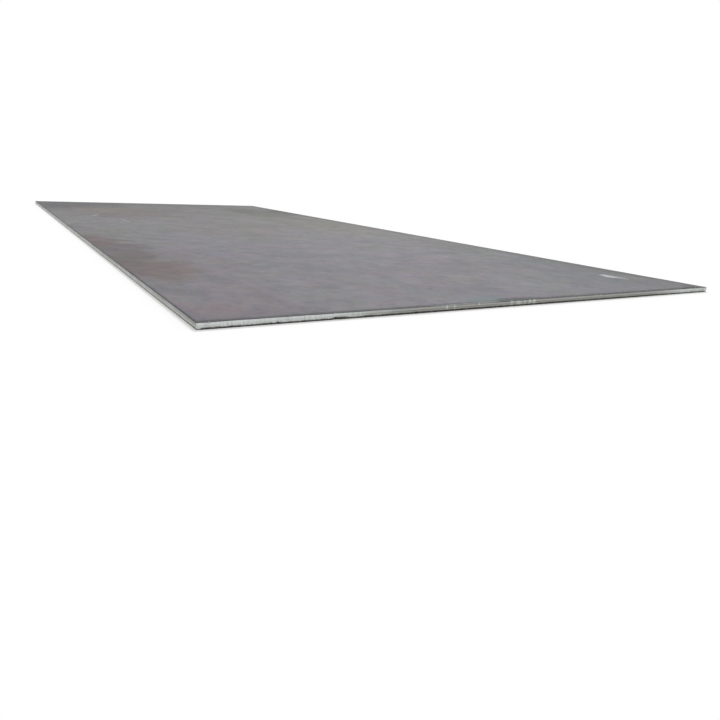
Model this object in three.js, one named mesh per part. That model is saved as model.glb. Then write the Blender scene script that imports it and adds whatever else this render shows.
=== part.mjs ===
// Hot-rolled steel plate, 22 x 2438 x 6000 mm, cut to size by shears.
//
// X runs across the plate, Y along it, the way it was rolled, and Z through its thickness. The
// origin is under the middle of the plate, on its underside. All lengths are in millimetres.
//
// The plate is one loft. A section of the sheared edge stands square to the outline at every
// station round it, each section is skinned to the next, and the two rolled faces close the solid.

import * as THREE from "three";

// The rolled plate. Handling has blunted its corners.
const plateWidth = 2438;
const plateLength = 6000;
const plateThickness = 22;
const cornerRadius = 5;

// The sheared edge, from the upper face down. The blade draws the face over, cuts a straight band,
// and the rest of the thickness tears off on a lean, down to a lip dressed level with the underside.
const rollWidth = 3.2;
const rollDrop = 2;
const bandHeight = 7.5;
const tearStep = 0.3;
const tearLean = 1.1;
const lipHeight = 0.9;
const lipReach = 0.4;

// Each long edge is trimmed in strokes of equal length. Every stroke runs in a little from the
// line, and the next one starts back on it.
const strokeLength = 1000;
const strokeSkew = 0.5;
const strokeReturn = 8;

// A stretch of the front edge's upper arris is beaten over, measured from the centre line.
const bruiseStart = -397;
const bruiseFull = -292;
const bruiseEnd = -24;
const bruiseRunOut = 10;
const bruiseWidth = 4.6;
const bruiseDrop = 2.2;

// The front edge's lower arris has lost one chip.
const nickCentre = -765;
const nickLength = 32;
const nickHeight = 4;
const nickDepth = 3.5;

// How finely the curves are cut.
const cornerSteps = 6;
const rollSteps = 5;
const bruiseSteps = 8;
const nickSteps = 10;
const leastRadius = 0.2;
const borderWidth = 60;

const millScale = new THREE.MeshStandardMaterial({
  color: 0x8d8b8f,
  roughness: 0.55,
  metalness: 0.6,
});

// Evenly spaced values from one end to the other, both ends included.
function spread(from, to, steps) {
  return Array.from({ length: steps + 1 }, (_, i) => from + ((to - from) * i) / steps);
}

// How far the upper arris is beaten over at x, from 0 to 1.
function bruiseAt(x) {
  const rise = THREE.MathUtils.smoothstep(x, bruiseStart, bruiseFull);
  const fall = THREE.MathUtils.smoothstep(x, bruiseEnd, bruiseEnd + bruiseRunOut);
  return rise * (1 - fall);
}

// How much of the chip is missing at x, from 0 to 1.
function nickAt(x) {
  const fromCentre = (x - nickCentre) / (nickLength / 2);
  return Math.max(0, 1 - fromCentre * fromCentre);
}

// The quarter ellipse by which the upper face turns down into the cut band.
function rolledArris(width, drop) {
  return spread(0, Math.PI / 2, rollSteps).map((turn) => {
    const inset = width * (1 - Math.sin(turn));
    return { inset, height: plateThickness - drop * (1 - Math.cos(turn)) };
  });
}

// The torn part of the edge, which leans inwards as it goes down to the lip.
function tornFace(nick) {
  const top = plateThickness - rollDrop - bandHeight;
  const leanAt = (height) => tearStep + (tearLean * (top - height)) / top;
  const foot = lipHeight + nick * nickHeight;
  const footInset = leanAt(foot);
  const lip = { inset: leanAt(0) - lipReach * (1 - nick), height: foot / 2 };
  lip.inset += (nick * nickDepth) / 2;
  return [
    { inset: 0, height: top },
    { inset: tearStep, height: top - tearStep },
    { inset: footInset, height: foot },
    lip,
    { inset: lip.inset + (nick * nickDepth) / 2, height: 0 },
  ];
}

// One section of the edge, from the upper face down to the underside.
function edgeSection(bruise, nick) {
  const width = rollWidth + bruise * bruiseWidth;
  const drop = rollDrop + bruise * bruiseDrop;
  return [...rolledArris(width, drop), ...tornFace(nick)];
}

// A station stands on the outline. Its at() gives the point a given distance inside the outline.
function straightStation(point, inward, damage) {
  const at = (inset) => point.clone().addScaledVector(inward, inset);
  return { at, section: edgeSection(damage.bruise, damage.nick) };
}

function cornerStation(centre, angle) {
  const outward = new THREE.Vector2(Math.cos(angle), Math.sin(angle));
  const radiusAt = (inset) => Math.max(cornerRadius - inset, leastRadius);
  const at = (inset) => centre.clone().addScaledVector(outward, radiusAt(inset));
  return { at, section: edgeSection(0, 0) };
}

// The stations of one corner. Its centre lies diagonally inside the plate's own corner.
function cornerStations(signX, signY, firstAngle) {
  const x = signX * (plateWidth / 2 - cornerRadius);
  const y = signY * (plateLength / 2 - cornerRadius);
  const centre = new THREE.Vector2(x, y);
  const angles = spread(firstAngle, firstAngle + Math.PI / 2, cornerSteps);
  return angles.map((angle) => cornerStation(centre, angle));
}

// The front edge, from left to right, with a station wherever its damage changes.
function frontStations() {
  const places = [
    ...spread(nickCentre - nickLength / 2, nickCentre + nickLength / 2, nickSteps),
    ...spread(bruiseStart, bruiseFull, bruiseSteps),
    ...spread(bruiseEnd, bruiseEnd + bruiseRunOut, bruiseSteps),
  ];
  places.sort((a, b) => a - b);
  const inward = new THREE.Vector2(0, 1);
  return places.map((x) => {
    const point = new THREE.Vector2(x, -plateLength / 2);
    return straightStation(point, inward, { bruise: bruiseAt(x), nick: nickAt(x) });
  });
}

// A long edge, from one end to the other, with two stations where each stroke meets the next:
// the end of the old one, run in from the line, and the start of the new one, back on it.
function trimmedStations(sign) {
  const run = plateLength - 2 * cornerRadius;
  const strokes = Math.max(1, Math.round(run / strokeLength));
  const inward = new THREE.Vector2(-sign, 0);
  const sound = { bruise: 0, nick: 0 };
  const stations = [];
  for (let stroke = 1; stroke <= strokes; stroke += 1) {
    const end = (run * stroke) / strokes - run / 2;
    const runIn = new THREE.Vector2(sign * (plateWidth / 2 - strokeSkew), sign * (end - strokeReturn));
    stations.push(straightStation(runIn, inward, sound));
    if (stroke < strokes) {
      const restart = new THREE.Vector2((sign * plateWidth) / 2, sign * end);
      stations.push(straightStation(restart, inward, sound));
    }
  }
  return stations;
}

// Every station, anticlockwise as seen from above, from the front left corner.
function outlineStations() {
  return [
    ...cornerStations(-1, -1, Math.PI),
    ...frontStations(),
    ...cornerStations(1, -1, -Math.PI / 2),
    ...trimmedStations(1),
    ...cornerStations(1, 1, 0),
    ...cornerStations(-1, 1, Math.PI / 2),
    ...trimmedStations(-1),
  ];
}

// The corners of the large rectangle inside a face's border, anticlockwise from the front left.
function innerCorners() {
  const x = plateWidth / 2 - borderWidth;
  const y = plateLength / 2 - borderWidth;
  const places = [[-x, -y], [x, -y], [x, y], [-x, y]];
  return places.map(([across, along]) => new THREE.Vector2(across, along));
}

// The number of the inner corner that lies in the same quarter of the plate as a point.
function quarterOf({ x, y }) {
  if (y < 0) {
    return x < 0 ? 0 : 1;
  }
  return x < 0 ? 3 : 2;
}

// Triangles that close a face, anticlockwise as seen from above: two over the rectangle, and a
// border that fans out from each of its corners to the ring's points in the same quarter.
function closeFace(ring, quarters, inner) {
  const triangles = [
    [inner[0], inner[1], inner[2]],
    [inner[0], inner[2], inner[3]],
  ];
  ring.forEach((here, i) => {
    const after = (i + 1) % ring.length;
    const corner = inner[quarters[i]];
    triangles.push([corner, here, ring[after]]);
    if (quarters[after] !== quarters[i]) {
      triangles.push([corner, ring[after], inner[quarters[after]]]);
    }
  });
  return triangles;
}

// Skins each section to the next, and closes both rolled faces.
function loft(stations) {
  const levels = stations[0].section.length;
  const positions = [];
  const addPoint = ({ x, y }, height) => {
    positions.push(x, y, height);
    return positions.length / 3 - 1;
  };
  const rows = stations.map(({ at, section }) =>
    section.map(({ inset, height }) => addPoint(at(inset), height)),
  );

  const triangles = [];
  rows.forEach((row, i) => {
    const next = rows[(i + 1) % rows.length];
    for (let level = 0; level < levels - 1; level += 1) {
      triangles.push([row[level], row[level + 1], next[level + 1]]);
      triangles.push([row[level], next[level + 1], next[level]]);
    }
  });

  const quarters = stations.map(({ at }) => quarterOf(at(0)));
  const upperInner = innerCorners().map((corner) => addPoint(corner, plateThickness));
  const lowerInner = innerCorners().map((corner) => addPoint(corner, 0));
  triangles.push(...closeFace(rows.map((row) => row[0]), quarters, upperInner));
  const lowerFace = closeFace(rows.map((row) => row[levels - 1]), quarters, lowerInner);
  triangles.push(...lowerFace.map((triangle) => triangle.reverse()));

  const geometry = new THREE.BufferGeometry();
  geometry.setAttribute("position", new THREE.Float32BufferAttribute(positions, 3));
  geometry.setIndex(triangles.flat());
  geometry.computeVertexNormals();
  return geometry;
}

function makePlate() {
  const plate = new THREE.Mesh(loft(outlineStations()), millScale);
  plate.name = "plate";
  return plate;
}

const steelPlate = new THREE.Group();
steelPlate.name = "steel_plate";
steelPlate.add(makePlate());

export default steelPlate;
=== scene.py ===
"""Looks of the steel plate: the sheared edge in full detail, the mill scale, and the studio.

The plate lies flat in the frame of the CAD model: X across it, Y along it, Z up, in metres.
"""

import math
from collections import namedtuple

import bpy
import numpy as np
from mathutils import Matrix, Vector


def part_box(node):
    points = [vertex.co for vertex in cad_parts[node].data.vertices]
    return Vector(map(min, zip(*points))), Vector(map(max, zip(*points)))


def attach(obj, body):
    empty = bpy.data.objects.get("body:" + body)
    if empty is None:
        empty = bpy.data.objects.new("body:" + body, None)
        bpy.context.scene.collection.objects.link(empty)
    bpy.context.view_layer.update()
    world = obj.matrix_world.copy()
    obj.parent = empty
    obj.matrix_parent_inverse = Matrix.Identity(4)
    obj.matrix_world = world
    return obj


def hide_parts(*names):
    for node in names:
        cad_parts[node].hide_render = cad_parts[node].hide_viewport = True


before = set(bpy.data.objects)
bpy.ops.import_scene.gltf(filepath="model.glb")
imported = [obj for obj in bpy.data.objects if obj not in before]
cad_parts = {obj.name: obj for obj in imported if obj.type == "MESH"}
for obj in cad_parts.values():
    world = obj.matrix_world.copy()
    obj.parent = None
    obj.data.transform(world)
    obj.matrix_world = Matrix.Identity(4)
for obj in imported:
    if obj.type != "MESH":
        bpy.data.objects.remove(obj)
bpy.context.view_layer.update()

MM = 0.001

# The plate's overall size, from the frame.
PLATE_LOW, PLATE_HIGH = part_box("plate")
WIDTH = PLATE_HIGH[0] - PLATE_LOW[0]
LENGTH = PLATE_HIGH[1] - PLATE_LOW[1]
THICKNESS = PLATE_HIGH[2] - PLATE_LOW[2]

# The sheared edge, as the CAD model has it.
CORNER_RADIUS = 5 * MM
ROLL_WIDTH = 3.2 * MM
ROLL_DROP = 2 * MM
BAND_HEIGHT = 7.5 * MM
TEAR_STEP = 0.3 * MM
TEAR_LEAN = 1.1 * MM
LIP_HEIGHT = 0.9 * MM
LIP_REACH = 0.4 * MM
TEAR_TOP = THICKNESS - ROLL_DROP - BAND_HEIGHT

# Strokes of the trimming shear along the long edges.
STROKE_LENGTH = 1000 * MM
STROKE_SKEW = 0.5 * MM
STROKE_RETURN = 8 * MM

# Damage to the front edge, measured from the centre line.
BRUISE_START = -397 * MM
BRUISE_FULL = -292 * MM
BRUISE_END = -24 * MM
BRUISE_RUN_OUT = 10 * MM
BRUISE_WIDTH = 4.6 * MM
BRUISE_DROP = 2.2 * MM
NICK_CENTRE = -765 * MM
NICK_LENGTH = 32 * MM
NICK_HEIGHT = 4 * MM
NICK_DEPTH = 3.5 * MM

# How finely the edge is cut. Every station lies on a fine grid, so that no two nearly meet.
STATION_PITCH = 5 * MM
STATION_GRID = 0.5 * MM
CHIP_STEPS = 8
CORNER_STEPS = 6
LEAST_RADIUS = 0.2 * MM
ROLL_STEPS = 5
TEAR_STEPS = 4
HOLD_WIDTH = 1.5 * MM
SHARP_ANGLE = 28

# How roughly the edge was cut: shares of what wanders, or depths, and how long each bend is. Some
# of the cut band is left under every chip.
ROLL_WANDER = 0.22
ROLL_PITCH = 35 * MM
BAND_WANDER = 0.2
BAND_PITCHES = (45 * MM, 15 * MM)
LEAST_BAND = 1 * MM
TEAR_ROUGHNESS = 0.16 * MM
TEAR_PITCH = 10 * MM
BRUISE_DENTS = 0.4
DENT_PITCH = 24 * MM

# Small chips, about so many along each arris: how far from a side's middle they may lie, as a
# share of its length, and how far they spread over the face, as a share of their depth.
CHIP_COUNT = 90
CHIP_REACH = 0.49
CHIP_LENGTH = (4 * MM, 16 * MM)
CHIP_DEPTH = (0.4 * MM, 1.6 * MM)
CHIP_SPREAD = 0.6
CHIP_RAGGEDNESS = 0.35
RAGGED_PITCH = 2.5 * MM

# The bright scars of the front edge, in metres from the centre line. They fade down the edge.
SCAR_CENTRES = (-0.321, -0.287, -0.013, 0.022, 0.054, 0.080, 0.101, 1.102, 1.131, 1.158, 1.176)
SCAR_LENGTHS = (0.012, 0.008, 0.016, 0.036, 0.011, 0.022, 0.022, 0.012, 0.020, 0.010, 0.014)
SCAR_DEPTH = 1.4 * MM
SCAR_SHINE = 1.5
SCAR_FADE = 0.82

# The painted shade of the foot rises over the chip out of the lower arris, and reaches further
# than the chip does.
NICK_SHADE_CENTRE = -752 * MM
NICK_SHADE_LENGTH = 68 * MM

# How the cut metal has dulled: along the front edge between two places, less again at its tip.
# Chips bare it by their depth, fully from FRESH_CHIP on, and the bruise bares it a little.
DULL_FROM = (-0.98, -0.35)
BRIGHT_TIP = (0.65, 1.1)
TIP_BRIGHTNESS = 0.7
SIDE_TARNISH = 0.7
TARNISH_WANDER = 0.15
TARNISH_PITCH = 150 * MM
FRESH_CHIP = 2.2 * MM
BRUISE_SHINE = 0.22

# The rolled faces. Two waves cross on each, given by how far their phase turns in a metre along X
# and along Y, and where it starts. They die out between two distances from the edge.
BORDER_WIDTH = 60 * MM
GRID_PITCH = 100 * MM
WAVE_HEIGHT = 0.25 * MM
WAVES = ((2.1, 0.9, 0.4), (-0.6, 1.7, 1.1))
WAVE_FADE = (BORDER_WIDTH / 2, 5 * BORDER_WIDTH)

SEED = 22

# The camera. Its heading is measured from +Y towards +X.
PICTURE_PIXELS = 720
FOCAL_PIXELS = 635.9
SENSOR_MM = 36
CAMERA_PLACE = (-1.7138, -4.7578, 0.4463)
CAMERA_HEADING = 30.722
CAMERA_PITCH = -16.118
CAMERA_ROLL = 2.918
CAMERA_CLIP = (10 * MM, 500)

# The studio. The sun's light travels towards its heading, measured as the camera's is.
FLOOR_HALF = 80.0
FLOOR_WHITE = 0.8
FLOOR_SEEN_WHITE = 0.95
FLOOR_SEEN_GLOW = 0.2
SKY_LIGHT = 0.55
SUN_STRENGTH = 1.35
SUN_ELEVATION = 44
SUN_HEADING = 214
SUN_ANGLE = 20


def srgb(red, green, blue):
    """The linear colour of an sRGB triple from 0 to 255."""

    def linear(value):
        value /= 255
        return value / 12.92 if value <= 0.04045 else ((value + 0.055) / 1.055) ** 2.4

    return (linear(red), linear(green), linear(blue), 1.0)


# ---------------------------------------------------------------------------------------------
# Outline: the stations round the plate
# ---------------------------------------------------------------------------------------------

SIDES = ("front", "right", "back", "left")

# A chip out of an arris: the number of its side, and its centre, length and depth in metres.
Chip = namedtuple("Chip", "side centre length depth")


def side_length(side):
    return WIDTH if side in ("front", "back") else LENGTH


def side_points(side, along, inside):
    """Plan places that lie a distance along a side, from its middle, and inside it."""
    if side == "front":
        return np.stack([along, -LENGTH / 2 + inside], axis=-1)
    if side == "right":
        return np.stack([WIDTH / 2 - inside, along], axis=-1)
    if side == "back":
        return np.stack([-along, LENGTH / 2 - inside], axis=-1)
    return np.stack([-WIDTH / 2 + inside, -along], axis=-1)


def stroke_inset(along, run):
    """How far a trimmed edge runs in from the line: a stroke drifts in, and the next returns."""
    strokes = max(1, round(run / STROKE_LENGTH))
    length = run / strokes
    place = np.mod(along + run / 2, length)
    drift = place / (length - STROKE_RETURN)
    back = (length - place) / STROKE_RETURN
    return STROKE_SKEW * np.minimum(drift, back)


def refined_run(half, chips):
    """Places along a straight run: evenly spaced, and closer together at every chip."""
    steps = round(2 * half / STATION_PITCH)
    runs = [np.linspace(-half, half, steps + 1)[1:-1]]
    for chip in chips:
        reach = chip.length / 2
        runs.append(np.linspace(chip.centre - reach, chip.centre + reach, CHIP_STEPS + 1))
    return np.unique(np.round(np.concatenate(runs) / STATION_GRID)) * STATION_GRID


def side_stations(side, chips):
    """One side's stations: half a corner, the straight run, and half the next corner.

    Returns how far along the side each lies, how far inside the line, and the way into the plate
    in the side's own terms.
    """
    half = side_length(side) / 2 - CORNER_RADIUS
    turn = np.linspace(-math.pi / 4, 0, CORNER_STEPS + 1)
    run = refined_run(half, chips)
    angle = np.concatenate([turn, np.zeros(len(run)), -turn[::-1][:-1]])
    middle = np.concatenate([np.full(len(turn), -half), run, np.full(len(turn) - 1, half)])
    along = middle + CORNER_RADIUS * np.sin(angle)
    inside = CORNER_RADIUS * (1 - np.cos(angle))
    if side in ("right", "left"):
        inside = inside + np.where(angle == 0, stroke_inset(middle, 2 * half), 0)
    return along, inside, np.stack([-np.sin(angle), np.cos(angle)], axis=-1)


def outline(chips):
    """Every station, anticlockwise from the front left corner, as one table of arrays.

    "run" is the distance round the outline, and "room" is how far inwards a section may reach.
    """
    table = {name: [] for name in ("place", "inward", "along", "key", "side", "run", "room")}
    passed = 0.0
    for number, side in enumerate(SIDES):
        length = side_length(side)
        along, inside, inward = side_stations(side, [chip for chip in chips if chip.side == number])
        origin = side_points(side, along, inside)
        ahead = side_points(side, along + inward[:, 0], inside + inward[:, 1])
        turning = np.abs(inward[:, 0]) > 0
        table["place"].append(origin)
        table["inward"].append(ahead - origin)
        table["along"].append(along)
        table["key"].append(number + 0.5 + along / length)
        table["side"].append(np.full(len(along), number))
        table["run"].append(passed + length / 2 + along)
        table["room"].append(np.where(turning, CORNER_RADIUS - LEAST_RADIUS, WIDTH))
        passed += length
    return {name: np.concatenate(columns) for name, columns in table.items()}


# ---------------------------------------------------------------------------------------------
# Section: the sheared edge at each station
# ---------------------------------------------------------------------------------------------


def smoothstep(value, low, high):
    part = np.clip((value - low) / (high - low), 0, 1)
    return part * part * (3 - 2 * part)


def wander(random, run, pitch):
    """A smooth random line round the outline, from -1 to 1, with a bend every pitch."""
    knots = round(2 * (WIDTH + LENGTH) / pitch)
    values = random.uniform(-1, 1, knots)
    place = run * knots / (2 * (WIDTH + LENGTH))
    low = np.floor(place).astype(int)
    part = smoothstep(place - low, 0, 1)
    return values[low % knots] * (1 - part) + values[(low + 1) % knots] * part


def random_chips(random):
    """Small chips knocked out of an arris by handling, spread over all four sides."""
    chips = []
    for number, name in enumerate(SIDES):
        share = side_length(name) / (2 * (WIDTH + LENGTH))
        for _ in range(round(CHIP_COUNT * share)):
            centre = random.uniform(-CHIP_REACH, CHIP_REACH) * side_length(name)
            length = random.uniform(*CHIP_LENGTH)
            depth = random.uniform(*CHIP_DEPTH)
            chips.append(Chip(number, centre, length, depth))
    return chips


def chip_depth(chips, stations):
    """The depth of a list of rounded chips at every station."""
    depth = np.zeros_like(stations["along"])
    for chip in chips:
        reach = (stations["along"] - chip.centre) / (chip.length / 2)
        bite = chip.depth * np.clip(1 - reach**2, 0, 1)
        depth = np.maximum(depth, np.where(stations["side"] == chip.side, bite, 0))
    return depth


def all_chips():
    """The chips of the upper arris, those of the lower one, the scars, and the nick."""
    random = np.random.RandomState(SEED)
    scars = zip(SCAR_CENTRES, SCAR_LENGTHS)
    return {
        "upper": random_chips(random),
        "lower": random_chips(random),
        "scars": [Chip(0, centre, length, SCAR_DEPTH) for centre, length in scars],
        "nick": [Chip(0, NICK_CENTRE, NICK_LENGTH, 1.0)],
    }


def damage_and_shade(stations, chips):
    """What has happened to the edge at every station.

    The bruise and the nick run from 0 to 1, the chips of each arris are depths, and the foot shade
    is how far the painted shade along the foot reaches up over the broken places.
    """
    random = np.random.RandomState(SEED + 3)
    x = stations["along"]
    bruise = smoothstep(x, BRUISE_START, BRUISE_FULL)
    bruise = bruise * (1 - smoothstep(x, BRUISE_END, BRUISE_END + BRUISE_RUN_OUT))
    depths = {name: chip_depth(some, stations) for name, some in chips.items()}
    soft_patch = Chip(0, NICK_SHADE_CENTRE, NICK_SHADE_LENGTH, NICK_HEIGHT)
    nick_shade = chip_depth([soft_patch], stations)
    ragged = 1 + CHIP_RAGGEDNESS * wander(random, stations["run"], RAGGED_PITCH)
    return {
        "bruise": bruise * (stations["side"] == 0),
        "nick": depths["nick"],
        "scars": depths["scars"] * ragged,
        "upper_chips": np.maximum(depths["upper"], depths["scars"]) * ragged,
        "lower_chips": depths["lower"] * ragged,
        # Painted shade: the dark foot is raised over the nick and the lower chips.
        "grime": nick_shade + depths["lower"],
    }


def edge_levels(stations, harm_and_shade):
    """The section at every station: (inset, height) arrays, from the upper face to the floor."""
    random = np.random.RandomState(SEED + 1)
    run = stations["run"]
    count = len(run)
    chips = harm_and_shade["upper_chips"]
    rough = 1 + ROLL_WANDER * wander(random, run, ROLL_PITCH)
    beaten = harm_and_shade["bruise"] * (1 + BRUISE_DENTS * wander(random, run, DENT_PITCH))
    width = ROLL_WIDTH * rough + beaten * BRUISE_WIDTH + chips * CHIP_SPREAD
    drop = ROLL_DROP * rough + beaten * BRUISE_DROP + chips
    levels = [(width + HOLD_WIDTH, np.full(count, THICKNESS))]
    for step in range(ROLL_STEPS + 1):
        turn = math.pi / 2 * step / ROLL_STEPS
        inset = width * (1 - math.sin(turn))
        levels.append((inset, THICKNESS - drop * (1 - math.cos(turn))))

    ripple = sum(wander(random, run, pitch) for pitch in BAND_PITCHES) / len(BAND_PITCHES)
    band = BAND_HEIGHT * (1 + BAND_WANDER * ripple)
    foot = THICKNESS - np.maximum(ROLL_DROP + band, drop + LEAST_BAND)
    low = LIP_HEIGHT + harm_and_shade["nick"] * NICK_HEIGHT + harm_and_shade["lower_chips"]
    levels.append((np.zeros(count), foot))
    for step in range(TEAR_STEPS + 1):
        part = step / TEAR_STEPS
        height = (foot - TEAR_STEP) * (1 - part) + low * part
        lean = TEAR_STEP + TEAR_LEAN * (foot - height) / foot
        grain = TEAR_ROUGHNESS * np.abs(wander(random, run, TEAR_PITCH))
        levels.append((lean + grain, height))
    broken = harm_and_shade["nick"] * NICK_DEPTH + harm_and_shade["lower_chips"]
    lip = TEAR_STEP + TEAR_LEAN - LIP_REACH * (1 - harm_and_shade["nick"]) + broken / 2
    levels.append((lip, low / 2))
    levels.append((lip + broken / 2, np.zeros(count)))
    return [(np.minimum(inset, stations["room"]), height) for inset, height in levels]


def edge_tarnish(stations):
    """How dull the cut metal has become at every station, from 0 for bright to 1."""
    random = np.random.RandomState(SEED + 2)
    x = stations["along"]
    front = stations["side"] == 0
    handled = smoothstep(x, *DULL_FROM) * (1 - TIP_BRIGHTNESS * smoothstep(x, *BRIGHT_TIP))
    level = np.where(front, handled, SIDE_TARNISH)
    level = level + TARNISH_WANDER * wander(random, stations["run"], TARNISH_PITCH)
    return np.clip(level, 0, 1)


def edge_bareness(harm_and_shade, number):
    """How freshly the metal is bared on one level of the section, from 0 to 1.

    The first two levels lie on the face, the drawn arris follows, and the rest is the cut edge.
    """
    arris_foot = ROLL_STEPS + 1
    if number < 2:
        return np.zeros_like(harm_and_shade["bruise"])
    if number <= arris_foot:
        return np.clip(harm_and_shade["upper_chips"] / FRESH_CHIP + BRUISE_SHINE * harm_and_shade["bruise"], 0, 1)
    shine = np.clip(SCAR_SHINE * harm_and_shade["scars"] / SCAR_DEPTH, 0, 1)
    return shine * SCAR_FADE ** (number - arris_foot)


# ---------------------------------------------------------------------------------------------
# Skin: the edge, and the two rolled faces
# ---------------------------------------------------------------------------------------------


def surface_wave(x, y):
    """How far the rolled face dips at a place: long shallow waves that die out at the edge."""
    first, second = (np.sin(across * x + along * y + start) for across, along, start in WAVES)
    to_edge = np.minimum(WIDTH / 2 - np.abs(x), LENGTH / 2 - np.abs(y))
    return WAVE_HEIGHT * (1 + first * second) / 2 * smoothstep(to_edge, *WAVE_FADE)


def face_grid():
    """Plan places of the grid that fills a rolled face inside its border."""
    half_x = WIDTH / 2 - BORDER_WIDTH
    half_y = LENGTH / 2 - BORDER_WIDTH
    across = round(2 * half_x / GRID_PITCH)
    lengthwise = round(2 * half_y / GRID_PITCH)
    x, y = np.meshgrid(
        np.linspace(-half_x, half_x, across + 1),
        np.linspace(-half_y, half_y, lengthwise + 1),
        indexing="ij",
    )
    return x, y


def grid_border(first, shape):
    """The grid's border vertices, anticlockwise from the front left corner, and their keys."""
    number = first + np.arange(shape[0] * shape[1]).reshape(shape)
    runs = (number[:, 0], number[-1, :], number[::-1, -1], number[0, ::-1])
    border, keys = [], []
    for side, run in enumerate(runs):
        border.extend(run[:-1])
        keys.extend(side + np.arange(len(run) - 1) / (len(run) - 1))
    return border, keys


def zip_loops(outer, outer_keys, inner, inner_keys):
    """Triangles between two closed loops, anticlockwise as seen from above."""
    faces = []
    i = j = 0
    while i < len(outer) or j < len(inner):
        next_outer = outer_keys[i + 1] if i + 1 < len(outer) else 4 + outer_keys[0]
        next_inner = inner_keys[j + 1] if j + 1 < len(inner) else 4 + inner_keys[0]
        here = outer[i % len(outer)]
        middle = inner[j % len(inner)]
        if j >= len(inner) or (i < len(outer) and next_outer <= next_inner):
            faces.append((here, outer[(i + 1) % len(outer)], middle))
            i += 1
        else:
            faces.append((here, inner[(j + 1) % len(inner)], middle))
            j += 1
    return faces


class Skin:
    """The plate's mesh as it grows: vertices with their wear and painted foot shade, faces and
    their finish and map.
    """

    def __init__(self):
        self.places = []
        self.wear_and_shade = {"tarnish": [], "bare": [], "grime": []}
        self.faces = []
        self.finish = []
        self.uv = []

    def add_places(self, places, **wear_and_shade):
        """Adds a row of places with their wear and painted shade, and returns the number of the
        first.
        """
        first = len(self.places)
        self.places.extend(map(tuple, places))
        for name, values in self.wear_and_shade.items():
            values.extend(np.broadcast_to(wear_and_shade.get(name, 0.0), len(places)).tolist())
        return first


# Where each part of the surface lies on the bake map, whose side stands for the plate's length.
# Both faces keep their shape, and the four edges lie in strips above them, magnified in height.
FACE_SHARE = WIDTH / LENGTH
MAP_GAP = 0.008
STRIP_SHARE = 0.035


def upper_uv(place):
    return ((place[1] + LENGTH / 2) / LENGTH, (place[0] + WIDTH / 2) / LENGTH)


def lower_uv(place):
    base = FACE_SHARE + MAP_GAP
    return ((place[1] + LENGTH / 2) / LENGTH, base + (WIDTH / 2 - place[0]) / LENGTH)


def add_edge(skin, stations, harm_and_shade):
    """The edge all the way round. Returns its first and last level as rings of vertices."""
    levels = edge_levels(stations, harm_and_shade)
    count = len(stations["along"])
    depth = len(levels)
    places = np.zeros((count, depth, 3))
    bare = np.zeros((count, depth))
    for number, (inset, height) in enumerate(levels):
        places[:, number, :2] = stations["place"] + stations["inward"] * inset[:, None]
        places[:, number, 2] = height
        bare[:, number] = edge_bareness(harm_and_shade, number)
    tarnish = np.repeat(edge_tarnish(stations), depth)
    grime = np.repeat(harm_and_shade["grime"], depth)
    places = places.reshape(-1, 3)
    first = skin.add_places(places, tarnish=tarnish, bare=bare.ravel(), grime=grime)
    for i in range(count):
        after = (i + 1) % count
        side = stations["side"][i]
        start = min(max(stations["key"][i] - side, 0), 1)
        end = 1.0 if after == 0 else min(max(stations["key"][after] - side, 0), 1)
        base = 2 * (FACE_SHARE + MAP_GAP) + side * (STRIP_SHARE + MAP_GAP)
        for level in range(depth - 1):
            here = first + i * depth + level
            there = first + after * depth + level
            top = base + STRIP_SHARE * (1 - level / (depth - 1))
            bottom = base + STRIP_SHARE * (1 - (level + 1) / (depth - 1))
            skin.faces.append((here, here + 1, there + 1, there))
            skin.finish.append("mill_scale" if level < ROLL_STEPS else "sheared_steel")
            skin.uv.extend([(start, top), (start, bottom), (end, bottom), (end, top)])
    rings = np.arange(first, first + count * depth).reshape(count, depth)
    return rings[:, 0].tolist(), rings[:, -1].tolist()


def add_rolled_face(skin, ring, keys, upper):
    """One rolled face: a grid inside, and triangles between it and the edge."""
    x, y = face_grid()
    dip = surface_wave(x, y)
    z = THICKNESS - dip if upper else dip
    first = skin.add_places(np.stack([x, y, z], axis=-1).reshape(-1, 3))
    border, border_keys = grid_border(first, x.shape)
    faces = zip_loops(ring, keys, border, border_keys)
    rows, columns = x.shape
    for row in range(rows - 1):
        for column in range(columns - 1):
            corner = first + row * columns + column
            faces.append((corner, corner + columns, corner + columns + 1, corner + 1))
    uv_of = upper_uv if upper else lower_uv
    for face in faces:
        turned = face if upper else face[::-1]
        skin.faces.append(turned)
        skin.finish.append("mill_scale")
        skin.uv.extend(uv_of(skin.places[vertex]) for vertex in turned)


def build_plate(finishes):
    """The visual model of the plate, in the place of the CAD node."""
    chips = all_chips()
    stations = outline([chip for some in chips.values() for chip in some])
    skin = Skin()
    upper_ring, lower_ring = add_edge(skin, stations, damage_and_shade(stations, chips))
    add_rolled_face(skin, upper_ring, stations["key"].tolist(), upper=True)
    add_rolled_face(skin, lower_ring, stations["key"].tolist(), upper=False)

    mesh = bpy.data.meshes.new("rolled_plate")
    mesh.from_pydata(skin.places, [], skin.faces)
    names = list(finishes)
    for name in names:
        mesh.materials.append(finishes[name])
    mesh.polygons.foreach_set("material_index", [names.index(name) for name in skin.finish])
    mesh.polygons.foreach_set("use_smooth", [True] * len(mesh.polygons))
    layer = mesh.uv_layers.new(name="OFBake")
    layer.data.foreach_set("uv", np.array(skin.uv, dtype=np.float32).ravel())
    for name, values in skin.wear_and_shade.items():
        mesh.attributes.new(name, "FLOAT", "POINT").data.foreach_set("value", values)
    mesh.set_sharp_from_angle(angle=math.radians(SHARP_ANGLE))
    mesh.validate()
    mesh.update()
    plate = bpy.data.objects.new("rolled_plate", mesh)
    bpy.context.scene.collection.objects.link(plate)
    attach(plate, "root")
    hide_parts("plate")


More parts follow.
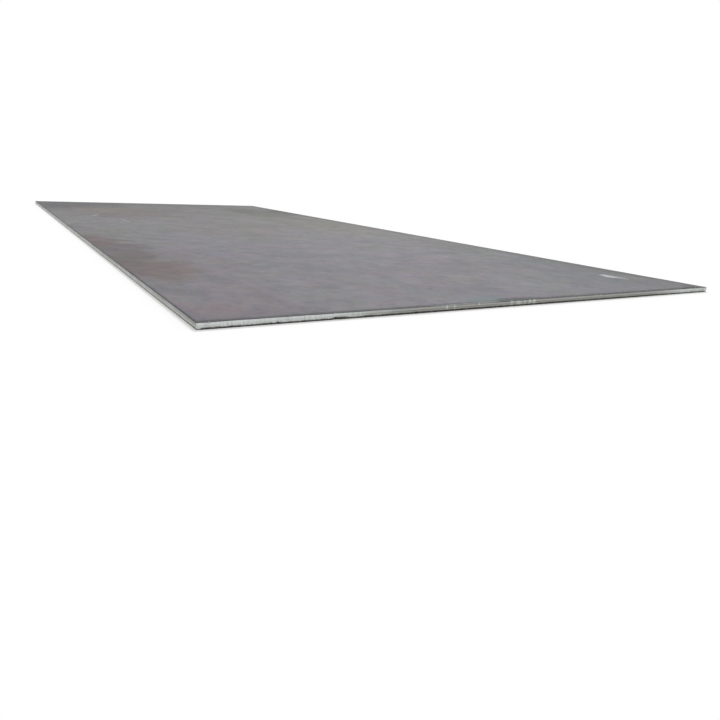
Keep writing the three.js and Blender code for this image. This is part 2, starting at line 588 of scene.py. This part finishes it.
# ---------------------------------------------------------------------------------------------
# Materials
# ---------------------------------------------------------------------------------------------

# Two uses of noise, each with its size in metres, its detail and its roughness. A pattern eases
# from start to end as its noise goes from low to high. A fray swings about 0, by up to half of
# its swing each way.
Pattern = namedtuple("Pattern", "size detail roughness low high start end", defaults=(0.0, 1.0))
Fray = namedtuple("Fray", "size detail roughness swing")

# A soft patch of colour, for real stains and marks and for painted shade: its centre and half size
# in metres, a turn in degrees, a colour, and its strength in the middle. It fades between two
# shares of its half size.
SoftPatch = namedtuple("SoftPatch", "centre reach turn colour strength")
PATCH_FADE = (0.4, 1.0)

# The light clouds of a mottled colour are a little cooler than the dark ones: its red, green and
# blue change by these shares of the cloud's shade. The other pairs are the detail and roughness of
# the noise in a cloud, and of the noise that moves a place about.
CLOUD_SHARES = (0.8, 1.0, 1.12)
CLOUD_NOISE = (2.0, 0.5)
DRIFT_NOISE = (5.0, 0.6)

# Where the mesh says that metal is bared: its ragged outline, and the range over which it shows.
BARE_FRAY = Fray(6 * MM, 4.0, 0.7, 1.6)
BARE_FADE = (0.35, 0.6)


class Shader:
    """A material under construction, with short names for the nodes that it uses."""

    def __init__(self, name):
        self.material = bpy.data.materials.new(name)
        self.material.use_nodes = True
        self.nodes = self.material.node_tree.nodes
        self.links = self.material.node_tree.links
        self.surface = self.nodes["Principled BSDF"]
        self.place = self.nodes.new("ShaderNodeTexCoord").outputs["Object"]

    def feed(self, socket, value):
        """Links an output to a socket, or sets a plain value on it."""
        if isinstance(value, bpy.types.NodeSocket):
            self.links.new(value, socket)
        else:
            socket.default_value = value

    def calculate(self, kind, operation, values):
        """One math node of either kind, fed with the values in order."""
        node = self.nodes.new(kind)
        node.operation = operation
        for socket, value in zip(node.inputs, values):
            self.feed(socket, value)
        return node.outputs[1 if operation == "LENGTH" else 0]

    def math(self, operation, *values):
        return self.calculate("ShaderNodeMath", operation, values)

    def vector(self, operation, *values):
        return self.calculate("ShaderNodeVectorMath", operation, values)

    def axes(self):
        node = self.nodes.new("ShaderNodeSeparateXYZ")
        self.links.new(self.place, node.inputs[0])
        return node.outputs

    def attribute(self, name):
        node = self.nodes.new("ShaderNodeAttribute")
        node.attribute_name = name
        return node.outputs["Fac"]

    def bared(self):
        """Where the metal lies bare, from the mesh's own measure of it, with a frayed outline."""
        frayed = self.math("ADD", self.attribute("bare"), self.fray(BARE_FRAY))
        return self.between(frayed, *BARE_FADE)

    def mapped(self, scale, turn=0.0):
        """The place on the plate, turned about Z and stretched, for a pattern with a direction."""
        node = self.nodes.new("ShaderNodeMapping")
        node.inputs["Rotation"].default_value = (0, 0, math.radians(turn))
        node.inputs["Scale"].default_value = scale
        self.links.new(self.place, node.inputs["Vector"])
        return node.outputs[0]

    def noise_node(self, size, detail, roughness, place):
        node = self.nodes.new("ShaderNodeTexNoise")
        node.inputs["Scale"].default_value = 1 / size
        node.inputs["Detail"].default_value = detail
        node.inputs["Roughness"].default_value = roughness
        self.links.new(place or self.place, node.inputs["Vector"])
        return node

    def noise(self, size, detail, roughness, place=None):
        """Noise whose patches are about size metres across."""
        return self.noise_node(size, detail, roughness, place).outputs[0]

    def pattern(self, kind, place=None):
        noise = self.noise(kind.size, kind.detail, kind.roughness, place)
        return self.between(noise, kind.low, kind.high, kind.start, kind.end)

    def fray(self, kind, place=None):
        noise = self.noise(kind.size, kind.detail, kind.roughness, place)
        return self.math("MULTIPLY_ADD", noise, kind.swing, -kind.swing / 2)

    def cells(self, size, place):
        """A random value in each of the cells that fill space, about size metres across."""
        node = self.nodes.new("ShaderNodeTexVoronoi")
        node.inputs["Scale"].default_value = 1 / size
        self.links.new(place, node.inputs["Vector"])
        return node.outputs["Color"]

    def strewn(self, place, size, spread):
        """A place moved about by noise, by up to half the spread each way."""
        colours = self.noise_node(size, *DRIFT_NOISE, None).outputs["Color"]
        shift = self.vector("MULTIPLY_ADD", colours, (spread,) * 3, (-spread / 2,) * 3)
        return self.vector("ADD", place, shift)

    def between(self, value, low, high, start=0.0, end=1.0):
        """Value eased from start at low to end at high."""
        node = self.nodes.new("ShaderNodeMapRange")
        node.interpolation_type = "SMOOTHSTEP"
        self.feed(node.inputs["Value"], value)
        node.inputs["From Min"].default_value = low
        node.inputs["From Max"].default_value = high
        node.inputs["To Min"].default_value = start
        node.inputs["To Max"].default_value = end
        return node.outputs[0]

    def mix(self, factor, first, second):
        node = self.nodes.new("ShaderNodeMix")
        node.data_type = "RGBA"
        colours = [socket for socket in node.inputs if socket.type == "RGBA"]
        self.feed(node.inputs[0], factor)
        self.feed(colours[0], first)
        self.feed(colours[1], second)
        return node.outputs[2]

    def cloud(self, colour, size, shade, tint, place=None):
        """Colour made lighter and darker by shade, and each of its channels by tint, in clouds."""
        node = self.noise_node(size, *CLOUD_NOISE, place)
        shades = [shade * share for share in CLOUD_SHARES]
        least = [1 - (share + tint) / 2 for share in shades]
        level = self.vector("MULTIPLY_ADD", node.outputs[0], shades, least)
        gain = self.vector("MULTIPLY_ADD", node.outputs["Color"], (tint,) * 3, level)
        return self.vector("MULTIPLY", colour, gain)

    def soft_patch(self, colour, place, ragged, spot, ceiling=1.0):
        """Colour with one soft patch laid over it, its outline drawn in and out by ragged."""
        node = self.nodes.new("ShaderNodeMapping")
        node.vector_type = "TEXTURE"
        node.inputs["Location"].default_value = (*spot.centre, 0)
        node.inputs["Rotation"].default_value = (0, 0, math.radians(spot.turn))
        node.inputs["Scale"].default_value = (*spot.reach, 1)
        self.links.new(place, node.inputs["Vector"])
        flat = self.vector("MULTIPLY", node.outputs[0], (1, 1, 0))
        radius = self.math("ADD", self.vector("LENGTH", flat), ragged)
        cover = self.between(radius, *PATCH_FADE, spot.strength, 0.0)
        return self.mix(self.math("MULTIPLY", cover, ceiling), colour, srgb(*spot.colour))

    def bump(self, height, strength, distance):
        node = self.nodes.new("ShaderNodeBump")
        node.inputs["Strength"].default_value = strength
        node.inputs["Distance"].default_value = distance
        self.links.new(height, node.inputs["Height"])
        self.links.new(node.outputs[0], self.surface.inputs["Normal"])


# The colours of the mill scale and of the metal under it, in sRGB from 0 to 255.
SCALE_COLOUR = (128, 126, 128)
RUST_BELOW_COLOUR = (117, 99, 92)
SCRATCH_COLOUR = (176, 176, 180)
FRECKLE_COLOUR = (104, 88, 80)
RIM_COLOUR = (84, 84, 86)
BARE_FACE_COLOUR = (176, 180, 178)

# The upper face's looks take over from the underside's between two heights.
UPPER_FADE = (0.4 * THICKNESS, 0.6 * THICKNESS)

# How far a place is moved about: the size of the noise that moves it, and how far in all.
ZONE_DRIFT = (600 * MM, 500 * MM)
FLAKE_DRIFT = (30 * MM, 50 * MM)

# The wide zones of the upper face, and the rust of the underside.
ZONE_FRAY = Fray(200 * MM, 5.0, 0.65, 1.2)
RUST_BELOW = Pattern(450 * MM, 5.0, 0.6, 0.36, 0.62, 0.0, 0.75)
ZONES = (
    SoftPatch((-0.35, -1.85), (1.50, 2.20), 0, (131, 128, 135), 0.7),
    SoftPatch((-1.14, -2.85), (0.38, 0.60), 0, (126, 119, 127), 0.6),
    SoftPatch((-0.92, -1.80), (0.34, 0.95), 0, (121, 120, 121), 0.6),
    SoftPatch((-1.17, -1.90), (0.30, 0.50), 2, (118, 104, 103), 0.7),
    SoftPatch((-1.20, -1.45), (0.27, 0.85), 0, (108, 102, 102), 0.8),
    SoftPatch((-1.18, -0.85), (0.16, 0.38), 0, (112, 97, 95), 0.6),
    SoftPatch((0.00, 2.60), (2.00, 2.10), 0, (115, 114, 113), 0.65),
    SoftPatch((-1.00, 2.60), (0.75, 1.00), 0, (94, 94, 98), 0.8),
    SoftPatch((-0.60, 1.60), (0.50, 1.00), 0, (124, 117, 114), 0.8),
    SoftPatch((0.00, -0.20), (0.45, 0.80), -20, (126, 122, 123), 0.65),
    SoftPatch((0.80, 1.70), (0.36, 0.95), 0, (98, 98, 95), 0.85),
    SoftPatch((1.16, 1.75), (0.17, 0.80), 0, (84, 85, 82), 0.8),
    SoftPatch((0.28, 1.75), (0.26, 0.60), 0, (126, 125, 126), 0.6),
    SoftPatch((0.85, 0.60), (0.55, 1.50), 0, (122, 121, 115), 0.55),
    SoftPatch((-0.28, -2.20), (0.42, 0.38), 0, (124, 121, 127), 0.6),
    SoftPatch((1.10, -2.00), (0.50, 1.10), 0, (120, 121, 124), 0.75),
    SoftPatch((1.00, -1.30), (0.20, 1.10), 0, (120, 120, 120), 0.6),
    SoftPatch((0.62, -2.75), (0.55, 0.50), 0, (129, 128, 136), 0.65),
)

# The mottling: the size of each cloud in metres, and how much it changes the shade and the tint.
# The streaks are one more cloud, drawn out along the plate.
CLOUDS = (
    (0.7, 0.3, 0.12),
    (0.22, 0.25, 0.2),
    (0.075, 0.19, 0.2),
    (0.026, 0.11, 0.15),
    (0.011, 0.1, 0.09),
    (0.005, 0.12, 0.05),
)
STREAK_CLOUD = (0.04, 0.10, 0.05)

# Single marks.
MARK_FRAY = Fray(30 * MM, 4.0, 0.65, 1.4)
MARKS = {
    "greenish wash by the bruise": SoftPatch((-0.10, -2.945), (0.13, 0.09), 0, (118, 130, 132), 0.7),
    "rubbed arris at the bruise": SoftPatch((-0.20, -2.998), (0.25, 0.015), 0, (152, 156, 153), 0.8),
    "rust bloom at the corner": SoftPatch((-1.09, -2.85), (0.13, 0.10), 30, (140, 118, 122), 0.35),
    # A dark stripe on the face behind the scars.
    "grime over the scars": SoftPatch((0.03, -2.985), (0.16, 0.05), 0, (84, 88, 86), 0.8),
    # Painted shade: a dark patch by the front right tip's arris, standing for the shadow in its
    # chips.
    "grime over the tip": SoftPatch((1.14, -2.99), (0.10, 0.035), 0, (62, 62, 64), 0.9),
    "dark tip": SoftPatch((1.19, -2.97), (0.12, 0.10), 0, (104, 104, 106), 0.7),
    "long scratch": SoftPatch((-0.753, 0.58), (0.022, 0.24), 2, (160, 160, 164), 0.5),
    "return of the long scratch": SoftPatch((-0.80, 0.42), (0.020, 0.12), -24, (156, 156, 160), 0.4),
    "short scratch": SoftPatch((-0.896, 1.10), (0.024, 0.12), -23, (170, 174, 172), 0.6),
    # Darker strips of the face along the right side, behind the right tip and along the far end.
    "grime along the right side": SoftPatch((1.225, 0.00), (0.14, 3.60), 0, (104, 106, 101), 0.65),
    "grime behind the right tip": SoftPatch((1.21, -2.20), (0.13, 0.85), 0, (100, 101, 99), 0.5),
    "grime along the far end": SoftPatch((0.00, 3.02), (2.00, 0.70), 0, (104, 105, 105), 0.5),
}

# The pale scuff near the right tip, drawn out along the plate: its tail, its middle and its head.
SCUFF_FRAY = Fray(7 * MM, 4.0, 0.7, 1.8)
SCUFF = (
    SoftPatch((1.010, -2.677), (0.024, 0.056), 2, (182, 178, 188), 0.7),
    SoftPatch((0.989, -2.630), (0.043, 0.050), 8, (203, 199, 210), 0.9),
    SoftPatch((0.998, -2.587), (0.036, 0.032), 0, (203, 199, 210), 0.9),
)

# Cells of lifted scale: their size, the range over which a cell's random value lifts it, and the
# gain that it gives the colour. The light ones lie lower than the rest, by a share of the relief.
Flake = namedtuple("Flake", "size low high gain")
LIGHT_FLAKE = Flake(70 * MM, 0.60, 0.62, 1.05)
DARK_FLAKE = Flake(28 * MM, 0.66, 0.68, 0.93)
FLAKE_DROP = 0.35

# Hairline scratches, how they crowd, how strong they are, and the ways they run, in degrees.
HAIRLINES = Pattern(3.2 * MM, 1.0, 0.5, 0.72, 0.78)
HAIRLINE_CROWD = Pattern(500 * MM, 3.0, 0.55, 0.48, 0.6)
HAIRLINE_STRENGTH = 0.45
HAIRLINE_TURNS = (-8, 24, 81)

# Rust freckles, and how they crowd.
FRECKLES = (
    Pattern(18 * MM, 2.0, 0.55, 0.66, 0.72, 0.0, 0.45),
    Pattern(6 * MM, 2.0, 0.55, 0.67, 0.73, 0.0, 0.55),
)
FRECKLE_CROWD = Pattern(600 * MM, 3.0, 0.55, 0.42, 0.62)

# The dark rim. Distances from a side and from an end are stretched by a factor each, and it fades
# between two of them.
RIM_SIDE_FACTOR = 1.4
RIM_END_FACTOR = 0.5
RIM_FADE = (5 * MM, 18 * MM)
RIM_STRENGTH = 0.92
RIM_FRAYS = (Fray(30 * MM, 3.0, 0.55, 14 * MM), Fray(6 * MM, 3.0, 0.55, 8 * MM))

# The fine grain, as gains of the colour.
GRIT = Pattern(1.8 * MM, 5.0, 0.8, 0.35, 0.65, 0.96, 1.12)
PITS = Pattern(3.2 * MM, 5.0, 0.75, 0.54, 0.66, 1.0, 0.72)
DRAWN_GRAIN = Pattern(2.6 * MM, 3.0, 0.6, 0.54, 0.64, 1.0, 0.9)

# The gloss of the scale, and its relief: the noise of it, and the bump's strength and height.
SCALE_GLOSS = 0.08
SCALE_ROUGHNESS = Pattern(160 * MM, 4.0, 0.6, 0.3, 0.7, 0.6, 0.67)
SCALE_RELIEF = (4 * MM, 4.0, 0.7)
SCALE_BUMP = (0.3, 0.6 * MM)

# Scales of the place, for patterns drawn out along the plate or along each set of hairlines.
FLAKES_DRAWN = (1.0, 0.7, 1.0)
SCUFF_DRAWN = (1.0, 0.12, 1.0)
STREAKS_DRAWN = (1.0, 0.1, 1.0)
GRAIN_DRAWN = (1.0, 0.06, 1.0)
HAIRLINES_DRAWN = (1.0, 1.6 / 220, 1.0)


def add_zones(shader, colour, upper):
    """The wide zones of the upper face, with ragged, drifting outlines, and rust underneath."""
    drifting = shader.strewn(shader.place, *ZONE_DRIFT)
    fringe = shader.fray(ZONE_FRAY)
    for zone in ZONES:
        colour = shader.soft_patch(colour, drifting, fringe, zone, upper)
    lower = shader.math("SUBTRACT", 1.0, upper)
    rusting = shader.math("MULTIPLY", shader.pattern(RUST_BELOW), lower)
    return shader.mix(rusting, colour, srgb(*RUST_BELOW_COLOUR))


def add_mottling(shader, colour):
    """Clouds of every size, and faint streaks along the rolling direction."""
    for size, shade, tint in CLOUDS:
        colour = shader.cloud(colour, size, shade, tint)
    return shader.cloud(colour, *STREAK_CLOUD, shader.mapped(STREAKS_DRAWN))


def add_grain(shader, colour):
    """The fine grain of the scale: grit, pits, and short streaks along the rolling direction."""
    gain = shader.math("MULTIPLY", shader.pattern(GRIT), shader.pattern(PITS))
    drawn = shader.pattern(DRAWN_GRAIN, shader.mapped(GRAIN_DRAWN))
    return shader.vector("MULTIPLY", colour, shader.math("MULTIPLY", gain, drawn))


def add_flakes(shader, colour):
    """Patches where the scale has lifted, light and dark. Returns the colour and the patches."""
    ragged = shader.strewn(shader.mapped(FLAKES_DRAWN), *FLAKE_DRIFT)
    light, dark = LIGHT_FLAKE, DARK_FLAKE
    lifted = shader.between(shader.cells(light.size, ragged), light.low, light.high)
    lighter = shader.math("MULTIPLY_ADD", lifted, light.gain - 1, 1.0)
    darker = shader.between(shader.cells(dark.size, ragged), dark.low, dark.high, 1.0, dark.gain)
    gain = shader.math("MULTIPLY", lighter, darker)
    return shader.vector("MULTIPLY", colour, gain), lifted


def add_scratches(shader, colour):
    """Fine straight scratches that come and go, a set of them for each way they run."""
    for turn in HAIRLINE_TURNS:
        line = shader.pattern(HAIRLINES, shader.mapped(HAIRLINES_DRAWN, turn))
        line = shader.math("MULTIPLY", line, shader.pattern(HAIRLINE_CROWD))
        line = shader.math("MULTIPLY", line, HAIRLINE_STRENGTH)
        colour = shader.mix(line, colour, srgb(*SCRATCH_COLOUR))
    return colour


def add_freckles(shader, colour):
    """Rust breaking through in specks, crowded in some places and rare in others."""
    crowd = shader.pattern(FRECKLE_CROWD)
    for kind in FRECKLES:
        speck = shader.math("MULTIPLY", shader.pattern(kind), crowd)
        colour = shader.mix(speck, colour, srgb(*FRECKLE_COLOUR))
    return colour


def add_rim(shader, colour, x, y):
    """A dark line on the face along every arris, darkest next to it."""
    to_side = shader.math("SUBTRACT", WIDTH / 2, shader.math("ABSOLUTE", x))
    to_side = shader.math("MULTIPLY", to_side, RIM_SIDE_FACTOR)
    to_end = shader.math("SUBTRACT", LENGTH / 2, shader.math("ABSOLUTE", y))
    to_end = shader.math("MULTIPLY", to_end, RIM_END_FACTOR)
    to_arris = shader.math("MINIMUM", to_side, to_end)
    for kind in RIM_FRAYS:
        to_arris = shader.math("ADD", to_arris, shader.fray(kind))
    rim = shader.between(to_arris, *RIM_FADE, RIM_STRENGTH, 0.0)
    return shader.mix(rim, colour, srgb(*RIM_COLOUR))


def add_marks(shader, colour, upper):
    """The single marks, with frayed outlines, and the scuff, which is frayed along the plate."""
    frayed = shader.fray(MARK_FRAY)
    for mark in MARKS.values():
        colour = shader.soft_patch(colour, shader.place, frayed, mark, upper)
    drawn_out = shader.fray(SCUFF_FRAY, shader.mapped(SCUFF_DRAWN))
    for mark in SCUFF:
        colour = shader.soft_patch(colour, shader.place, drawn_out, mark, upper)
    return colour


def make_mill_scale():
    """Blue-grey mill scale, with its stains, clouds, flakes, scratches, rust, dark rim, and painted
    shade at one tip.
    """
    shader = Shader("mill_scale")
    x, y, z = shader.axes()
    upper = shader.between(z, *UPPER_FADE)

    colour = add_zones(shader, srgb(*SCALE_COLOUR), upper)
    colour = add_mottling(shader, colour)
    colour, lifted = add_flakes(shader, colour)
    colour = add_scratches(shader, colour)
    colour = add_freckles(shader, colour)
    colour = add_rim(shader, colour, x, y)
    colour = add_marks(shader, colour, upper)
    colour = add_grain(shader, colour)
    colour = shader.mix(shader.bared(), colour, srgb(*BARE_FACE_COLOUR))

    surface = shader.surface
    shader.feed(surface.inputs["Base Color"], colour)
    surface.inputs["Metallic"].default_value = 0.0
    surface.inputs["Specular IOR Level"].default_value = SCALE_GLOSS
    shader.feed(surface.inputs["Roughness"], shader.pattern(SCALE_ROUGHNESS))
    height = shader.math("MULTIPLY_ADD", lifted, -FLAKE_DROP, shader.noise(*SCALE_RELIEF))
    shader.bump(height, *SCALE_BUMP)
    return shader.material


# The colours of sheared steel. Where it has dulled, the band and the tear have a colour each on the
# two ends, and another on the two sides.
BRIGHT_COLOUR = (205, 209, 208)
END_BAND_COLOUR = (152, 154, 151)
END_TEAR_COLOUR = (148, 149, 145)
SIDE_BAND_COLOUR = (120, 123, 121)
SIDE_TEAR_COLOUR = (186, 183, 176)
STREAK_COLOUR = (166, 168, 165)
EDGE_RUST_COLOUR = (156, 138, 120)
BARE_EDGE_COLOUR = (188, 190, 187)
TEAR_LINE_COLOUR = (98, 97, 94)
# The last two colours are the painted shade along the foot of the edge, dark and browner.
FOOT_SHADE_COLOUR = (40, 40, 40)
FOOT_SHADE_BROWN = (88, 80, 71)

# The colours of the two sides take over from those of the ends between two distances from a side,
# and the tear's take over from the band's between two heights.
SIDE_FADE = (20 * MM, 10 * MM)
TORN_FADE = (TEAR_TOP - 2 * MM, TEAR_TOP + 1 * MM)

# The dark line where the cut turned into a tear. It fades between two distances above and below.
TEAR_LINE_FRAY = Fray(12 * MM, 4.0, 0.65, 5 * MM)
TEAR_LINE_FADE = (0.4 * MM, 2 * MM)
TEAR_LINE_STRENGTH = 0.52

# Painted shade along the foot of the edge, standing for the shadow beneath it, mottled browner in
# places. It fades between two heights, and ends lower on the sides and on bright metal.
FOOT_FRAY = Fray(20 * MM, 3.0, 0.55, 6 * MM)
FOOT_FADE = (4 * MM, 9 * MM)
FOOT_STRENGTH = 0.95
FOOT_SIDE_DROP = 3 * MM
FOOT_BRIGHT_DROP = 1.2 * MM
FOOT_SHADE_MOTTLE = Pattern(10 * MM, 5.0, 0.75, 0.4, 0.66)

# Patches of dullness, blotches of rust, and the streaks of the cut, which its roughness follows.
DULL_FRAY = Fray(50 * MM, 3.0, 0.6, 0.9)
EDGE_RUST = Pattern(30 * MM, 4.0, 0.65, 0.52, 0.7, 0.0, 0.6)
CUT_STREAKS = Pattern(6 * MM, 3.0, 0.6, 0.35, 0.65, 0.0, 0.4)
CUT_ROUGHNESS = Pattern(6 * MM, 3.0, 0.6, 0.3, 0.7, 0.34, 0.52)
CUT_RELIEF = (1.5 * MM, 3.0, 0.7)
CUT_BUMP = (0.4, 0.3 * MM)

# Scales of the place, for patterns that are drawn out up and down the edge.
PATCHES_UPRIGHT = (1.0, 1.0, 0.3)
STREAKS_UPRIGHT = (1.0, 1.0, 0.12)


def dulled(shader):
    """How dull the metal is, in upright patches, from 0 for bright to 1."""
    patches = shader.fray(DULL_FRAY, shader.mapped(PATCHES_UPRIGHT))
    dull = shader.math("ADD", shader.attribute("tarnish"), patches)
    return shader.between(dull, 0.0, 1.0)


def steel_colour(shader, z, side, dull):
    """The colour of the band and of the tear under it, bright or dull."""
    torn = shader.between(z, *TORN_FADE, 1.0, 0.0)
    band = shader.mix(side, srgb(*END_BAND_COLOUR), srgb(*SIDE_BAND_COLOUR))
    tear = shader.mix(side, srgb(*END_TEAR_COLOUR), srgb(*SIDE_TEAR_COLOUR))
    return shader.mix(dull, srgb(*BRIGHT_COLOUR), shader.mix(torn, band, tear))


def add_edge_rust(shader, colour):
    """Rust in blotches, wherever the metal was handled."""
    rust = shader.math("MULTIPLY", shader.pattern(EDGE_RUST), shader.attribute("tarnish"))
    return shader.mix(rust, colour, srgb(*EDGE_RUST_COLOUR))


def add_tear_line(shader, colour, z):
    """The ragged dark line where the cut turned into a tear. It has darkened with the metal."""
    off_tear = shader.math("ADD", z, shader.fray(TEAR_LINE_FRAY))
    off_tear = shader.math("ABSOLUTE", shader.math("SUBTRACT", off_tear, TEAR_TOP))
    line = shader.between(off_tear, *TEAR_LINE_FADE, TEAR_LINE_STRENGTH, 0.0)
    line = shader.math("MULTIPLY", line, shader.attribute("tarnish"))
    return shader.mix(line, colour, srgb(*TEAR_LINE_COLOUR))


def add_foot_shade(shader, colour, z, side, dull):
    """Painted shade along the foot of the edge, mottled browner in places, and round the chips of
    the lower arris.
    """
    height = shader.math("ADD", z, shader.fray(FOOT_FRAY))
    height = shader.math("MULTIPLY_ADD", side, FOOT_SIDE_DROP, height)
    above_bright = shader.math("MULTIPLY_ADD", dull, -FOOT_BRIGHT_DROP, FOOT_BRIGHT_DROP)
    height = shader.math("ADD", height, above_bright)
    height = shader.math("SUBTRACT", height, shader.attribute("grime"))
    foot = shader.between(height, *FOOT_FADE, FOOT_STRENGTH, 0.0)
    grime = shader.mix(shader.pattern(FOOT_SHADE_MOTTLE), srgb(*FOOT_SHADE_COLOUR), srgb(*FOOT_SHADE_BROWN))
    return shader.mix(foot, colour, grime)


def make_sheared_steel():
    """Sheared steel: bright where newly cut, dull where handled, and darkened with painted shade
    along its foot.
    """
    shader = Shader("sheared_steel")
    x, _, z = shader.axes()
    start, end = (WIDTH / 2 - inside for inside in SIDE_FADE)
    side = shader.between(shader.math("ABSOLUTE", x), start, end)
    dull = dulled(shader)
    upright = shader.mapped(STREAKS_UPRIGHT)

    colour = steel_colour(shader, z, side, dull)
    colour = shader.mix(shader.pattern(CUT_STREAKS, upright), colour, srgb(*STREAK_COLOUR))
    colour = add_edge_rust(shader, colour)
    colour = shader.mix(shader.bared(), colour, srgb(*BARE_EDGE_COLOUR))
    colour = add_tear_line(shader, colour, z)
    colour = add_foot_shade(shader, colour, z, side, dull)

    surface = shader.surface
    shader.feed(surface.inputs["Base Color"], colour)
    surface.inputs["Metallic"].default_value = 1.0
    shader.feed(surface.inputs["Roughness"], shader.pattern(CUT_ROUGHNESS, upright))
    shader.bump(shader.noise(*CUT_RELIEF), *CUT_BUMP)
    return shader.material


# ---------------------------------------------------------------------------------------------
# Studio
# ---------------------------------------------------------------------------------------------


def seen_ray(nodes, links):
    """1 for rays that show a background: from the camera, or by way of gloss or glass."""
    path = nodes.new("ShaderNodeLightPath")
    total = path.outputs["Is Camera Ray"]
    for name in ("Is Glossy Ray", "Is Transmission Ray"):
        add = nodes.new("ShaderNodeMath")
        add.operation = "MAXIMUM"
        links.new(total, add.inputs[0])
        links.new(path.outputs[name], add.inputs[1])
        total = add.outputs[0]
    return total


def make_floor_material():
    """Plain and pale. To rays that show it, it glows enough to be white outside the shadow."""
    material = bpy.data.materials.new("studio_floor")
    material.use_nodes = True
    nodes = material.node_tree.nodes
    links = material.node_tree.links
    nodes.clear()
    seen = seen_ray(nodes, links)
    plain = nodes.new("ShaderNodeBsdfDiffuse")
    plain.inputs["Color"].default_value = (FLOOR_WHITE, FLOOR_WHITE, FLOOR_WHITE, 1)
    shown = nodes.new("ShaderNodeBsdfDiffuse")
    shown.inputs["Color"].default_value = (FLOOR_SEEN_WHITE, FLOOR_SEEN_WHITE, FLOOR_SEEN_WHITE, 1)
    glow = nodes.new("ShaderNodeEmission")
    glow.inputs["Strength"].default_value = FLOOR_SEEN_GLOW
    both = nodes.new("ShaderNodeAddShader")
    links.new(shown.outputs[0], both.inputs[0])
    links.new(glow.outputs[0], both.inputs[1])
    choice = nodes.new("ShaderNodeMixShader")
    links.new(seen, choice.inputs[0])
    links.new(plain.outputs[0], choice.inputs[1])
    links.new(both.outputs[0], choice.inputs[2])
    output = nodes.new("ShaderNodeOutputMaterial")
    links.new(choice.outputs[0], output.inputs["Surface"])
    return material


def make_floor():
    half = FLOOR_HALF
    mesh = bpy.data.meshes.new("floor")
    corners = [(-half, -half, 0), (half, -half, 0), (half, half, 0), (-half, half, 0)]
    mesh.from_pydata(corners, [], [(0, 1, 2, 3)])
    mesh.materials.append(make_floor_material())
    floor = bpy.data.objects.new("floor", mesh)
    bpy.context.scene.collection.objects.link(floor)


def make_sky():
    """An even sky that lights softly, and shows as white."""
    world = bpy.data.worlds.new("studio")
    world.use_nodes = True
    nodes = world.node_tree.nodes
    links = world.node_tree.links
    background = nodes["Background"]
    background.inputs["Color"].default_value = (1, 1, 1, 1)
    strength = nodes.new("ShaderNodeMapRange")
    strength.inputs["To Min"].default_value = SKY_LIGHT
    strength.inputs["To Max"].default_value = 1.0
    links.new(seen_ray(nodes, links), strength.inputs["Value"])
    links.new(strength.outputs[0], background.inputs["Strength"])
    bpy.context.scene.world = world


def make_sun():
    """One broad, soft lamp from behind the plate's right side, half way up the sky."""
    lamp = bpy.data.lights.new("key", "SUN")
    lamp.energy = SUN_STRENGTH
    lamp.angle = math.radians(SUN_ANGLE)
    sun = bpy.data.objects.new("key", lamp)
    turn = Matrix.Rotation(math.radians(-SUN_HEADING), 4, "Z")
    tilt = Matrix.Rotation(math.radians(90 - SUN_ELEVATION), 4, "X")
    sun.matrix_world = turn @ tilt
    bpy.context.scene.collection.objects.link(sun)


def make_camera():
    """The camera, at the photograph's place and angle over the plate's front left corner."""
    data = bpy.data.cameras.new("camera")
    data.sensor_width = SENSOR_MM
    data.lens = SENSOR_MM * FOCAL_PIXELS / PICTURE_PIXELS
    data.clip_start, data.clip_end = CAMERA_CLIP
    camera = bpy.data.objects.new("camera", data)
    heading = Matrix.Rotation(math.radians(-CAMERA_HEADING), 4, "Z")
    pitch = Matrix.Rotation(math.radians(90 + CAMERA_PITCH), 4, "X")
    roll = Matrix.Rotation(math.radians(CAMERA_ROLL), 4, "Z")
    camera.matrix_world = Matrix.Translation(Vector(CAMERA_PLACE)) @ heading @ pitch @ roll
    bpy.context.scene.collection.objects.link(camera)
    bpy.context.scene.camera = camera


make_camera()
make_floor()
make_sky()
make_sun()
bpy.context.scene.view_settings.view_transform = "Standard"
build_plate({"mill_scale": make_mill_scale(), "sheared_steel": make_sheared_steel()})
